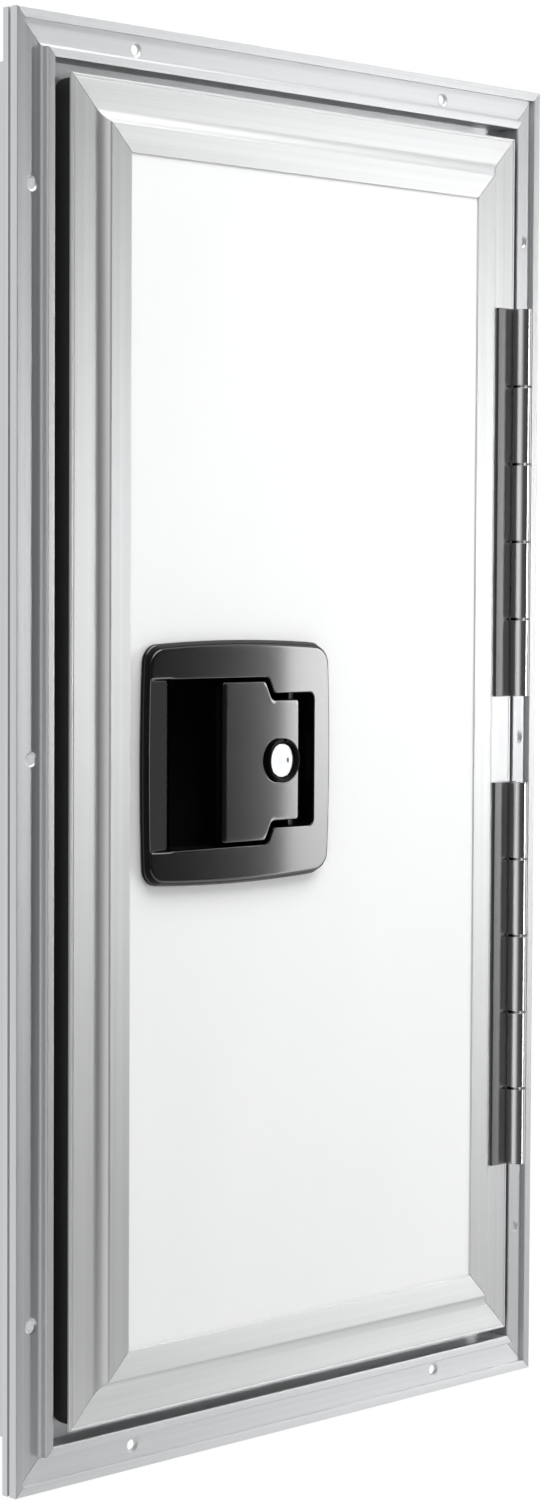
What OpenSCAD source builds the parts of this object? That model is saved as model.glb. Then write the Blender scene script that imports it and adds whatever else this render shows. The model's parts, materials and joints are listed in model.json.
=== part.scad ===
// Side-hinged baggage door for a caravan or motorhome: a mitred aluminium frame for the
// wall cut-out, a mitred leaf with a white sandwich panel, two knuckle hinges and a
// flush paddle latch with a key lock.
// X runs along the width (hinges at +X), Y into the wall, Z up. Y = 0 is the outside
// face of the wall skin and the origin is the middle of the frame. Millimetres.

/* [Frame] */
// Overall width over the wall flange
frame_w = 360; // [320:1:900]
// Overall height over the wall flange
frame_h = 673; // [560:1:1200]
// Depth of the leg that lines the wall cut-out, from the wall skin inwards
leg_depth = 28; // [21:0.5:60]
// Thickness of the leg
leg_t = 1.6; // [1.2:0.1:2.4]
// Height of the outer rim over the wall skin
rim_depth = 9.5; // [8:0.5:14]
// Width of the outer rim
rim_w = 4.6; // [4:0.1:7]
// Step from the rim down to the screw channel
channel_step = 2.3; // [1:0.1:3]
// Thickness of the screw channel's floor
channel_t = 1.8; // [1.4:0.1:2.4]
// Width of the flange from its outer edge to the inner face of the lip
flange_w = 20.8; // [20:0.1:30]
// Width of the raised lip
lip_w = 4.4; // [4:0.1:6]
// Height of the lip over the rim
lip_rise = 2.5; // [1.5:0.1:4]
// Width of the inner stop that the seal closes on
stop_w = 14.2; // [12:0.1:16]
// Thickness of the stop
stop_t = 1.8; // [1.4:0.1:2]
// Diameter of the frame screw holes
screw_d = 5.2; // [4:0.1:6]
// Distance of the screw line from the outer edge
screw_inset = 10.8; // [9:0.1:13]
// Height of the corner screws of the side members above and below the middle
side_screw_z = 259; // [100:1:500]
// Distance of the top and bottom screws from the middle
end_screw_x = 106; // [40:1:350]

/* [Leaf] */
// Gap between the frame lip and the leaf edge
leaf_gap = 6.2; // [5.8:0.1:9]
// Height of the leaf's outer face over the wall skin
leaf_face = 15.8; // [14:0.1:20]
// Width of the flat outer face
face_w = 13.6; // [12:0.1:20]
// Thickness of the outer flange
flange_t = 1.8; // [1.4:0.1:2.2]
// Rise of the curved moulding from the outer face to the inner border
moulding_rise = 4.2; // [3:0.1:6]
// Steepest angle of the curved moulding
moulding_angle = 59; // [45:1:70]
// Radius of the moulding's crest
crest_r = 1.4; // [0.8:0.1:2]
// Width of the flat inner border
border_w = 12.1; // [10:0.1:20]
// Thickness of the border lip that holds the panel
border_t = 0.9; // [0.7:0.1:1.6]
// Depth of the leaf from the border to its back
leaf_depth = 38; // [37:0.5:46]
// Wall thickness of the hollow section
tube_t = 1.6; // [1.2:0.1:2.2]
// Thickness of the outer skin
outer_skin_t = 1; // [0.6:0.1:1.5]
// Thickness of the inner skin
inner_skin_t = 1; // [0.6:0.1:1.5]
// Width of the bulb seal
seal_w = 7; // [6:0.1:8]
// Outer corner radius of the bulb seal
seal_corner_r = 9; // [8.5:0.5:20]

/* [Hinges] */
// Length of a hinge
hinge_len = 200; // [120:1:260]
// Height of each hinge's middle above and below the middle of the door
hinge_z = 122.3; // [105:0.1:300]
// Number of knuckles
knuckle_n = 5; // [3:2:9]
// Radius of the hinge barrel
barrel_r = 4.75; // [4:0.05:5.5]
// Radius of the hinge pin
pin_r = 2.4; // [1.8:0.1:2.6]
// Thickness of the hinge plates
plate_t = 1.5; // [1:0.1:2]

/* [Latch] */
// Width of white panel left between the border and the bezel
latch_margin = 5.9; // [3:0.1:40]
// Height of the latch's middle
latch_z = -4.4; // [-80:0.1:80]
// Half width of the bezel
bezel_a = 60.7; // [59:0.1:70]
// Half height of the bezel
bezel_b = 57.8; // [57:0.1:70]
// Corner radius of the bezel
bezel_corner_r = 8.6; // [5:0.1:14]
// Height of the bezel over the panel
bezel_rise = 6.4; // [5:0.1:8]
// Half height of the pocket and the wide part of the paddle
pocket_h = 40; // [37:0.1:42]
// Half height of the notch that takes the paddle's tongue
notch_h = 32.2; // [30:0.1:33]
// Gap around the paddle
paddle_gap = 2.1; // [0.8:0.1:2.4]
// Thickness of the paddle's face
paddle_t = 3; // [2:0.1:4]
// Depth of the finger pocket from the bezel's face
pocket_depth = 23.5; // [18:0.5:24]
// Radius of the paddle's pivot pin
pivot_r = 2; // [1.5:0.1:2.5]
// Opening angle of the paddle
paddle_open = 30; // [20:1:32]
// Outer radius of the lock's ring
lock_ring_r = 10.6; // [10:0.1:12]
// Radius of the lock's plug
plug_r = 7.9; // [6:0.1:8.2]
// Travel of the latch bolt
bolt_travel = 8.5; // [8:0.1:9]
// Width of the latch bolt
bolt_w = 16; // [12:0.5:18]

/* [Hidden] */
$fn = 64;
slack = 0.3;
run = 0.06;
mitre_gap = 0.12;
skin_gap = 0.2;

// Frame section, measured from the wall skin (y) and from the outer edge (u)
rim_y = -rim_depth;
channel_y = rim_y + channel_step;
lip_y = rim_y - lip_rise;
lip_u = flange_w - lip_w;
stop_u = flange_w + stop_w;
rim_wall = 3.2;
groove_y = [-5.0, -3.4];
groove_depth = 1.4;
cove_r = 1.8;
key_lip = 1;
key_y = channel_y + channel_t;
key_t = 3;

// Leaf section, measured from the wall skin (y) and from the leaf's own edge (e)
leaf_inset = flange_w + leaf_gap;
leaf_w = frame_w - 2 * leaf_inset;
leaf_h = frame_h - 2 * leaf_inset;
face_y = -leaf_face;
border_y = face_y - moulding_rise;
cove_span = moulding_rise / (1 - cos(moulding_angle));
moulding_w = cove_span * sin(moulding_angle);
border_e = face_w + moulding_w;
leaf_in = border_e + border_w;
tube_e = 13.5;
web_e = border_e + 0.4;
tube_in = web_e + tube_t;
back_y = border_y + leaf_depth;
skin_y = border_y + border_t;
back_lip_t = 1;
inner_y = back_y - back_lip_t - inner_skin_t;
sandwich_w = leaf_w - 2 * (tube_in + skin_gap);
sandwich_h = leaf_h - 2 * (tube_in + skin_gap);
seal_e = 0.5;
seal_top = face_y + flange_t + 0.1;
seal_end = -slack;

// Hinge axis: the barrel rests on the leaf's face and against the frame's inner wall
axis_x = frame_w / 2 - flange_w - barrel_r;
axis_y = face_y - barrel_r;
knuckle_len = hinge_len / knuckle_n;
knuckle_gap = 0.4;
notch_clear = 0.7;
leaf_plate_w = face_w - 0.2 + (axis_x - leaf_w / 2);
frame_plate_d = -1 - axis_y;
rivet_r = 1.6;
rivet_reach = 2.6;
rivet_y = lip_y + 2.8;
rivet_head = 2.4;
rivet_e = 10.5;
rivet_zs = [-80, -27, 27, 80] * hinge_len / 200;

// Latch places, measured from the latch's middle
latch_x = leaf_in + latch_margin + bezel_a - leaf_w / 2;
gasket_t = 0.8;
bezel_back = skin_y - gasket_t;
bezel_y = bezel_back - (bezel_rise - gasket_t);
pan_t = 2;
side_bulge = 1.5;
top_bulge = 2.2;
pocket_left = 44.7;
notch_right = 48.9;
step_at = 15.2;
step_w = 8.6;
tongue_right = 38.6;
paddle_left = -12.3;
pocket_floor = bezel_y + pocket_depth;
pan_back = pocket_floor + 1.5;
divider = 0.8;
cut_a = bezel_a - 6.3;
cut_b = bezel_b - 7.3;
cut_r = 8;
post_a = cut_a - 6.5;
post_b = cut_b - 6.5;
post_r = 4;
screw_hole_r = 2;
pivot_x = 43;
pivot_y = -15;
pivot_barrel = 4;
lock_x = 26.8;
lock_z = -0.1;
lock_body_r = plug_r + 1.2;
lock_front = bezel_y - 2.5;
lock_back = 2.6;
plug_face = bezel_y - 0.4;
cam_y = [3.2, 5.2];
case_back = inner_y - 0.1;
case_t = 1.6;
bolt_front = 3.4;
bolt_back = 13.6;
bolt_tip = -leaf_w / 2 + 2;
bolt_end = latch_x - 36.7;
stile_x = -leaf_w / 2 + tube_in + skin_gap;

// Transfer lever, which turns the paddle's pull into the bolt's draw
lever_x = 33.3;
lever_z = 13;
lever_up = 13.4;
lever_turn = 1.1 * paddle_open;
lever_down = bolt_travel / (2 * sin(lever_turn / 2));
tab_angle = 14.6;
lever_y = [6.6, 9];
tail_y = [9.6, 12.4];
tab_r = 2.9;
tail_pin_r = 2.5;
spring_post = [latch_x - 46.7, latch_x - 42.7];
bolt_window = [latch_x - 71.7, latch_x - 41.3];

aluminium = [0.80, 0.81, 0.82];
steel = [0.62, 0.63, 0.65];
white = [0.95, 0.95, 0.94];
black = [0.07, 0.07, 0.08];
chrome = [0.85, 0.86, 0.88];

function arc(c, r, a0, a1, n) = [for (i = [0:n]) let(a = a0 + (a1 - a0) * i / n) c + r * [cos(a), sin(a)]];

// Section of the frame member: points are [y, u]
function frame_section() = concat(
    [[0, 0], [groove_y[1], 0], [groove_y[1], groove_depth], [groove_y[0], groove_depth], [groove_y[0], 0]],
    arc([rim_y + 0.5, 0.5], 0.5, 270, 180, 4),
    arc([rim_y + 0.3, rim_w - 0.3], 0.3, 180, 90, 3),
    [[channel_y, rim_w], [channel_y, lip_u - 0.2 - cove_r]],
    arc([channel_y - cove_r, lip_u - 0.2 - cove_r], cove_r, 0, 90, 6),
    lip_reeds(),
    arc([lip_y + 0.5, lip_u + 0.5], 0.5, 270, 180, 4),
    arc([lip_y + 0.8, flange_w - 0.8], 0.8, 180, 90, 5),
    [[0, flange_w], [0, stop_u - 0.5], [0.5, stop_u], [stop_t, stop_u], [stop_t, flange_w],
     [leg_depth, flange_w], [leg_depth, flange_w - leg_t]],
    key_lip_points(flange_w - leg_t, -1),
    [[key_y, flange_w - leg_t], [key_y, rim_wall]],
    reverse_list(key_lip_points(rim_wall, 1)),
    [[0, rim_wall]]);
// Two fine grooves along the lip's outer wall
function lip_reeds() = [for (y = [lip_y + 2.2, lip_y + 1.2])
    for (p = [[0.2, -0.2], [0, 0.15], [-0.2, -0.2]]) [y + p[0], lip_u + p[1]]];
// Small ribs that keep the corner key under the channel
function key_lip_points(u, side) = [[key_y + key_t + 1.2, u], [key_y + key_t + 1.2, u + side * key_lip],
    [key_y + key_t + 0.2, u + side * key_lip], [key_y + key_t + 0.2, u]];
function reverse_list(v) = [for (i = [len(v) - 1:-1:0]) v[i]];

// Front outline of the leaf member from its edge to the panel: points are [y, e]
function leaf_front() = concat(
    [[face_y + flange_t, 0.3], [face_y + flange_t - 0.3, 0], [face_y + 0.4, 0], [face_y, 0.4],
     [face_y, 1.3], [face_y + 0.35, 1.6], [face_y, 1.9]],
    arc([face_y - (cove_span - crest_r), face_w], cove_span - crest_r, 0, moulding_angle, 10),
    arc([border_y + crest_r, border_e], crest_r, 180 + moulding_angle, 180, 5),
    [[border_y, leaf_in - 0.2], [border_y + 0.2, leaf_in]]);

module leaf_section() {
    difference() {
        polygon(concat(leaf_front(),
            [[skin_y, leaf_in], [skin_y, tube_in], [back_y - back_lip_t, tube_in],
             [back_y - back_lip_t, leaf_in], [back_y, leaf_in], [back_y, tube_e + 0.3],
             [back_y - 0.3, tube_e], [face_y + flange_t, tube_e]]));
        polygon([[back_y - tube_t, tube_e + tube_t], [face_y + flange_t - 0.2, tube_e + tube_t],
            [face_y + 0.9, tube_e + tube_t + 2.1], [face_y - 0.4, web_e - 2.4],
            [border_y + 1.9, web_e], [back_y - tube_t, web_e]]);
    }
}

// A member laid along X with its outer edge at Z = 0, mitred at both ends
module mitred(length, depth) {
    intersection() {
        rotate([90, 0, 90]) linear_extrude(length, center = true) children();
        rotate([90, 0, 0]) linear_extrude(200, center = true)
            polygon([[-length / 2 + mitre_gap, 0], [length / 2 - mitre_gap, 0],
                [length / 2 - mitre_gap - depth, depth], [-length / 2 + mitre_gap + depth, depth]]);
    }
}

// Puts a member that lies along X on one side of a w by h rectangle
module on_side(side, w, h) {
    if (side == "bottom") translate([0, 0, -h / 2]) children();
    if (side == "top") translate([0, 0, h / 2]) mirror([0, 0, 1]) children();
    if (side == "left") translate([-w / 2, 0, 0]) rotate([0, 90, 0]) children();
    if (side == "right") translate([w / 2, 0, 0]) mirror([1, 0, 0]) rotate([0, 90, 0]) children();
}

module frame_member(side, screws) {
    length = side == "left" || side == "right" ? frame_h : frame_w;
    difference() {
        on_side(side, frame_w, frame_h) mitred(length, 60) polygon(frame_section());
        for (p = screws) screw_hole(p);
        if (side == "right") for (s = [-1, 1]) for (z = rivet_zs)
            translate([frame_w / 2 - flange_w - 0.1, rivet_y, s * hinge_z + z])
                rotate([0, 90, 0]) cylinder(r = rivet_r + run, h = rivet_reach + 0.3);
        if (side == "left") for (z = strike_zs)
            translate([strike_rivet_x, 1, latch_z + z]) rotate([90, 0, 0])
                cylinder(r = rivet_r + run, h = 6, center = true);
    }
}

module screw_hole(p) {
    dish_r = screw_d / 2 + 1.3;
    translate([p[0], channel_y, p[1]]) rotate([-90, 0, 0]) {
        translate([0, 0, -1]) cylinder(d = screw_d, h = channel_t + 2);
        translate([0, 0, -0.01]) cylinder(r1 = dish_r, r2 = screw_d / 2, h = 0.6);
    }
}

side_screw_x = frame_w / 2 - screw_inset;
end_screw_z = frame_h / 2 - screw_inset;
module frame_top_rail() {
    color(aluminium) frame_member("top", [for (s = [-1, 1]) [s * end_screw_x, end_screw_z]]);
}
module frame_bottom_rail() {
    color(aluminium) frame_member("bottom", [for (s = [-1, 1]) [s * end_screw_x, -end_screw_z]]);
}
module frame_left_stile() {
    color(aluminium) frame_member("left", [for (s = [-1, 0, 1]) [-side_screw_x, s * side_screw_z]]);
}
module frame_right_stile() {
    color(aluminium) frame_member("right", [for (s = [-1, 0, 1]) [side_screw_x, s * side_screw_z]]);
}

// One L-shaped key in the corner at -X, -Z; u is the band it fills, arm its length
module corner_key(u, arm, y, corner) {
    translate([corner[0], y[0], corner[1]]) rotate([-90, 0, 0]) mirror([0, 1, 0])
        linear_extrude(y[1] - y[0])
            polygon([[u[0], u[0]], [arm, u[0]], [arm, u[1]], [u[1], u[1]], [u[1], arm], [u[0], arm]]);
}

module in_four_corners() {
    for (sx = [0, 1]) for (sz = [0, 1]) mirror([sx, 0, 0]) mirror([0, 0, sz]) children();
}

module frame_corner_keys() {
    color(steel) in_four_corners()
        corner_key([rim_wall + slack, flange_w - leg_t - slack], 50, [key_y + 0.1, key_y + key_t],
            [-frame_w / 2, -frame_h / 2]);
}

module leaf_corner_keys() {
    color(steel) in_four_corners()
        corner_key([tube_e + tube_t + 0.2, web_e - 0.2], 60, [face_y + 5, back_y - tube_t - 4],
            [-leaf_w / 2, -leaf_h / 2]);
}

// Strike on the back of the left stop, held by two flush rivets
strike_zs = [-13, 13];
strike_rivet_x = -frame_w / 2 + stop_u - 4.4;
strike_t = 1;
module strike_plate() {
    color(steel) difference() {
        translate([-frame_w / 2 + flange_w + 2, stop_t, latch_z - 18]) cube([stop_w - 2.2, strike_t, 36]);
        for (z = strike_zs) translate([strike_rivet_x, stop_t, latch_z + z]) rotate([90, 0, 0])
            cylinder(r = rivet_r + run, h = 6, center = true);
    }
}
module strike_rivets() {
    color(steel) for (z = strike_zs) translate([strike_rivet_x, 0, latch_z + z]) rotate([-90, 0, 0]) {
        cylinder(r = rivet_r, h = stop_t + strike_t);
        translate([0, 0, stop_t + strike_t]) cylinder(r = rivet_head + 0.4, h = 0.9);
    }
}

module leaf_member(side) {
    length = side == "left" || side == "right" ? leaf_h : leaf_w;
    difference() {
        on_side(side, leaf_w, leaf_h) mitred(length, 60) leaf_section();
        if (side == "left") translate([-leaf_w / 2 + tube_e - 1, bolt_front - 0.6, latch_z - bolt_w / 2 - 0.6])
            cube([tube_in - tube_e + 2, bolt_back - bolt_front + 1.2, bolt_w + 1.2]);
        if (side == "right") for (s = [-1, 1]) for (z = rivet_zs)
            translate([leaf_w / 2 - rivet_e, face_y + 1, s * hinge_z + z]) rotate([90, 0, 0])
                cylinder(r = rivet_r + run, h = 5, center = true);
    }
}
module leaf_top_rail() { color(aluminium) leaf_member("top"); }
module leaf_bottom_rail() { color(aluminium) leaf_member("bottom"); }
module leaf_left_stile() { color(aluminium) leaf_member("left"); }
module leaf_right_stile() { color(aluminium) leaf_member("right"); }

// A sheet of the sandwich panel between two depths
module panel_sheet(y0, y1) {
    translate([-sandwich_w / 2, y0, -sandwich_h / 2]) cube([sandwich_w, y1 - y0, sandwich_h]);
}
module latch_cut_out() {
    at_latch() upright(-60, 60) rounded_rectangle(cut_a, cut_b, cut_r);
}
module post_places() {
    for (sx = [-1, 1]) for (sz = [-1, 1]) translate([latch_x + sx * post_a, 0, latch_z + sz * post_b])
        rotate([-90, 0, 0]) children();
}

module outer_skin() {
    color(white) difference() {
        panel_sheet(skin_y, skin_y + outer_skin_t);
        latch_cut_out();
    }
}
module foam_core() {
    color([0.93, 0.90, 0.80]) difference() {
        panel_sheet(skin_y + outer_skin_t, inner_y);
        latch_cut_out();
        translate([stile_x - 5, pan_back, latch_z - bolt_w / 2 - 2.6])
            cube([latch_x - stile_x + 5, 60, bolt_w + 5.2]);
    }
}
module inner_skin() {
    color(white) difference() {
        panel_sheet(inner_y, inner_y + inner_skin_t);
        post_places() cylinder(r = screw_hole_r + 0.2, h = 60);
    }
}

// Section of the bulb seal: a flat foot under the flange and a hollow round bulb, [x, y]
function seal_outline() = concat([[0, seal_top], [0, seal_end - seal_w / 2 - 1.5]],
    [for (p = arc([seal_w / 2, seal_end - seal_w / 2], seal_w / 2, 170, 10, 12)) p],
    [[seal_w, seal_end - seal_w / 2 - 1.5], [seal_w, seal_top]]);
module seal_section(shift) {
    translate([shift, 0]) difference() {
        polygon(seal_outline());
        translate([seal_w / 2, seal_end - seal_w / 2]) circle(r = seal_w / 2 - 1.4, $fn = 32);
        translate([seal_w / 2 - 1.2, seal_top - 1]) square([2.4, -seal_top + seal_end - seal_w / 2]);
    }
}
module bulb_seal() {
    half = [leaf_w / 2 - seal_e, leaf_h / 2 - seal_e];
    straight = [for (v = half) v - seal_corner_r];
    color(black) {
        for (s = [-1, 1]) {
            mirror([s < 0 ? 1 : 0, 0, 0]) translate([0, 0, -straight[1]])
                linear_extrude(2 * straight[1]) mirror([1, 0]) seal_section(-half[0]);
            mirror([0, 0, s < 0 ? 1 : 0]) translate([-straight[0], 0, 0]) rotate([0, 90, 0])
                linear_extrude(2 * straight[0]) seal_section(-half[1]);
        }
        in_four_corners() translate([straight[0], 0, straight[1]]) rotate([90, 0, 0])
            rotate_extrude(angle = 90, $fn = 48) mirror([0, 1]) mirror([1, 0])
                seal_section(-seal_corner_r);
    }
}

// A hinge plate with its knuckles; odd picks the frame's knuckles
module knuckles(odd) {
    for (i = [0:knuckle_n - 1]) if (i % 2 == (odd ? 1 : 0))
        translate([0, 0, -hinge_len / 2 + i * knuckle_len + knuckle_gap / 2])
            cylinder(r = barrel_r, h = knuckle_len - knuckle_gap);
}
module knuckle_notches(odd, size, at) {
    for (i = [0:knuckle_n - 1]) if (i % 2 == (odd ? 1 : 0))
        translate(concat(at, [-hinge_len / 2 + i * knuckle_len - knuckle_gap / 2]))
            cube([size[0], size[1], knuckle_len + knuckle_gap]);
}
module hinge_at(s) {
    translate([axis_x, axis_y, s * hinge_z]) children();
}
module frame_plate() {
    difference() {
        union() {
            difference() {
                translate([barrel_r - plate_t, 0, -hinge_len / 2])
                    cube([plate_t, frame_plate_d, hinge_len]);
                knuckle_notches(false, [plate_t + 2, barrel_r + notch_clear], [barrel_r - plate_t - 1, -1]);
                knuckle_notches(true, [plate_t + 2, 1], [barrel_r - plate_t - 1, -1]);
            }
            knuckles(true);
        }
        cylinder(r = pin_r + run, h = hinge_len + 2, center = true);
        for (z = rivet_zs) translate([barrel_r, rivet_y - axis_y, z]) rotate([0, 90, 0])
            cylinder(r = rivet_r + run, h = 8, center = true);
    }
}
module leaf_plate() {
    difference() {
        union() {
            difference() {
                translate([-leaf_plate_w, barrel_r - plate_t, -hinge_len / 2])
                    cube([leaf_plate_w, plate_t, hinge_len]);
                knuckle_notches(true, [barrel_r + notch_clear, plate_t + 2],
                    [-barrel_r + 1 - notch_clear, barrel_r - plate_t - 1]);
            }
            knuckles(false);
        }
        cylinder(r = pin_r + run, h = hinge_len + 2, center = true);
        for (z = rivet_zs) translate([leaf_w / 2 - rivet_e - axis_x, barrel_r, z]) rotate([90, 0, 0])
            cylinder(r = rivet_r + run, h = 8, center = true);
    }
}
module upper_hinge_frame_plate() { color(steel) hinge_at(1) frame_plate(); }
module lower_hinge_frame_plate() { color(steel) hinge_at(-1) frame_plate(); }
module upper_hinge_leaf_plate() { color(steel) hinge_at(1) leaf_plate(); }
module lower_hinge_leaf_plate() { color(steel) hinge_at(-1) leaf_plate(); }
module hinge_pins() {
    color(steel) for (s = [-1, 1]) hinge_at(s) cylinder(r = pin_r, h = hinge_len, center = true);
}
module hinge_frame_rivets() {
    color(steel) for (s = [-1, 1]) for (z = rivet_zs)
        translate([axis_x + barrel_r - plate_t, rivet_y, s * hinge_z + z]) rotate([0, 90, 0]) {
            cylinder(r = rivet_r, h = plate_t + rivet_reach);
            translate([0, 0, -1.1]) cylinder(r1 = rivet_head - 0.6, r2 = rivet_head, h = 1.1);
        }
}
module hinge_leaf_rivets() {
    color(steel) for (s = [-1, 1]) for (z = rivet_zs)
        translate([leaf_w / 2 - rivet_e, face_y - plate_t, s * hinge_z + z]) rotate([-90, 0, 0]) {
            cylinder(r = rivet_r, h = plate_t + flange_t);
            translate([0, 0, plate_t + flange_t]) cylinder(r1 = rivet_head, r2 = rivet_head - 0.6, h = 1.2);
        }
}

// Moves latch drawings to the latch's middle, and stands a flat outline in the panel's plane
module at_latch() { translate([latch_x, 0, latch_z]) children(); }
module upright(y0, y1) {
    translate([0, y1, 0]) rotate([90, 0, 0]) linear_extrude(y1 - y0) children();
}

// Rectangle of half sizes a and b with round corners
module rounded_rectangle(a, b, r) {
    polygon([for (q = [0:3]) each arc([(q == 0 || q == 3 ? 1 : -1) * (a - r), (q < 2 ? 1 : -1) * (b - r)],
        r, 90 * q, 90 * q + 90, 6)]);
}

// One corner of the bezel, from the middle of its side to the middle of its top: both bulge a little
function bezel_quarter(a, b, r) = let(
    corner = [a - r - side_bulge * pow((b - r) / b, 2), b - r - top_bulge * pow((a - r) / a, 2)])
    concat([for (i = [0:5]) let(z = corner[1] * i / 6) [a - side_bulge * pow(z / b, 2), z]],
        arc(corner, r, 0, 90, 8),
        [for (i = [5:-1:0]) let(x = corner[0] * i / 6) [x, b - top_bulge * pow(x / a, 2)]]);
// Bezel outline, drawn in by one inset at the sides and another at the top and bottom
function bezel_outline(side, top) = let(q = bezel_quarter(bezel_a - side, bezel_b - top, bezel_corner_r),
    n = len(q) - 1) concat(q, [for (i = [n - 1:-1:0]) [-q[i][0], q[i][1]]],
        [for (i = [1:n]) [-q[i][0], -q[i][1]]], [for (i = [n - 1:-1:1]) [q[i][0], -q[i][1]]]);

// Stepped outline of the opening, or of the paddle when it starts and ends nearer in
function stepped_outline(left, right, h_wide, h_narrow, step, r) = let(
    upper = concat([[left, 0], [left, h_wide - 1.5], [left + 1.5, h_wide]],
        [for (i = [0:10]) [step + step_w * i / 10, h_wide + (h_narrow - h_wide) * (1 - cos(18 * i)) / 2]],
        arc([right - r, h_narrow - r], r, 90, 0, 4)))
    concat(upper, [for (i = [len(upper) - 1:-1:1]) [upper[i][0], -upper[i][1]]]);
module opening_outline(d) {
    polygon(stepped_outline(-pocket_left - d, notch_right + d, pocket_h + d, notch_h + d, step_at + d * 0.6, 3.2));
}
module paddle_outline(d) {
    polygon(stepped_outline(paddle_left + d, tongue_right - d, pocket_h - paddle_gap - d,
        notch_h - 1.6 * paddle_gap - d, step_at - paddle_gap * 0.6 - d * 0.6, 1.2));
}

scoop_left = 59.2;
scoop_depth = 3.2;
module latch_bezel() {
    color(black) at_latch() difference() {
        union() {
            upright(bezel_back - 1.6, bezel_back) polygon(bezel_outline(0, 0));
            hull() {
                upright(bezel_back - 1.6, bezel_back - 1) polygon(bezel_outline(0.5, 0.5));
                upright(bezel_y + 0.6, bezel_back - 3) polygon(bezel_outline(0.5, 1.6));
                upright(bezel_y, bezel_y + 0.1) polygon(bezel_outline(1, 2.6));
            }
            upright(bezel_back - 0.1, pan_back) opening_outline(pan_t);
            translate([pivot_x, pivot_y, 0]) cylinder(r = 4.6, h = 2 * (notch_h + pan_t + 3.4), center = true);
            for (sx = [-1, 1]) for (sz = [-1, 1]) translate([sx * post_a, bezel_back - 0.1, sz * post_b])
                rotate([-90, 0, 0]) cylinder(r = post_r, h = case_back - case_t - bezel_back);
        }
        difference() {
            upright(bezel_y - 1, pocket_floor) opening_outline(0);
            translate([divider, pivot_y - 1, -60]) cube([pan_t, 60, 120]);
        }
        translate([divider + pan_t, pocket_floor - 1, -notch_h]) cube([notch_right - divider - pan_t - 1, 10, 2 * notch_h]);
        translate([0, 0, -pocket_h]) linear_extrude(2 * pocket_h)
            polygon([[-scoop_left, bezel_y - 0.01], [-pocket_left + 0.1, bezel_y - 0.01],
                [-pocket_left + 0.1, bezel_y + scoop_depth]]);
        translate([pivot_x, pivot_y, 0]) cylinder(r = pivot_r + run, h = 2 * (notch_h + pan_t + 5), center = true);
        for (sx = [-1, 1]) for (sz = [-1, 1]) translate([sx * post_a, bezel_back + 2, sz * post_b])
            rotate([-90, 0, 0]) cylinder(r = screw_hole_r, h = 60);
    }
}
module latch_gasket() {
    color(black) at_latch() difference() {
        upright(bezel_back, skin_y) polygon(bezel_outline(0.8, 0.8));
        upright(bezel_back - 1, skin_y + 1) rounded_rectangle(cut_a, cut_b, cut_r);
    }
}

knuckle_z = [13, 28.2];
arm_z = [22.6, 28.2];
module paddle() {
    color(black) at_latch() difference() {
        union() {
            for (edge = [[0, 0.5], [0.15, 0.25], [0.4, 0]])
                upright(bezel_y + edge[0], bezel_y + paddle_t) paddle_outline(edge[1]);
            difference() {
                upright(bezel_y + 1, bezel_y + 5.9) paddle_outline(0);
                upright(bezel_y + 0.5, bezel_y + 7) paddle_outline(1.8);
            }
            translate([lock_x, bezel_y + 1, lock_z]) rotate([-90, 0, 0])
                cylinder(r = lock_body_r + 2, h = 4.9);
            for (s = [-1, 1]) mirror([0, 0, s < 0 ? 1 : 0]) translate([0, 0, knuckle_z[0]])
                linear_extrude(knuckle_z[1] - knuckle_z[0]) {
                    translate([pivot_x, pivot_y]) circle(r = pivot_barrel);
                    polygon([[pivot_x - 10, bezel_y + 2.9], [tongue_right - 0.2, bezel_y + 2.9],
                        [pivot_x + 0.6 * pivot_barrel, pivot_y - 0.8 * pivot_barrel],
                        [pivot_x - 0.8 * pivot_barrel, pivot_y + 0.6 * pivot_barrel]]);
                }
            translate([pivot_x - 3, pivot_y, arm_z[0]]) cube([6, 16, arm_z[1] - arm_z[0]]);
        }
        translate([pivot_x, pivot_y, 0]) cylinder(r = pivot_r + run, h = 100, center = true);
        translate([lock_x, 0, lock_z]) rotate([90, 0, 0]) cylinder(r = lock_body_r + run, h = 60);
    }
}
module paddle_pin() {
    color(steel) at_latch() translate([pivot_x, pivot_y, 0])
        cylinder(r = pivot_r, h = 2 * (notch_h + pan_t + 3.2), center = true);
}

// A coil of round wire along Z, closed at its ends
function coil_ring(r, wire, a, z, rise) = [for (k = [0:7]) let(b = 45 * k)
    [(r + wire * cos(b)) * cos(a) + wire * sin(b) * rise * sin(a),
     (r + wire * cos(b)) * sin(a) - wire * sin(b) * rise * cos(a), z + wire * sin(b)]];
module coil(r, wire, height, turns) {
    steps = turns * 16;
    rise = height / (turns * 2 * PI * r);
    points = [for (i = [0:steps]) each coil_ring(r, wire, i * 22.5, height * i / steps, rise)];
    sides = [for (i = [0:steps - 1]) for (k = [0:7]) let(a = 8 * i + k, b = 8 * i + (k + 1) % 8)
        each [[a, b, b + 8], [a, b + 8, a + 8]]];
    ends = [[for (k = [7:-1:0]) k], [for (k = [0:7]) 8 * steps + k]];
    polyhedron(points = points, faces = concat(sides, ends), convexity = 8);
}
module paddle_spring() {
    color(steel) at_latch() translate([pivot_x, pivot_y, -11]) coil(3.1, 0.45, 22, 11);
}
module bolt_spring() {
    color(steel) translate([bolt_window[0] + 0.6, (bolt_front + bolt_back) / 2, latch_z])
        rotate([0, 90, 0]) coil(3, 0.45, spring_post[0] - bolt_window[0] - 1.2, 8);
}

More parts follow.
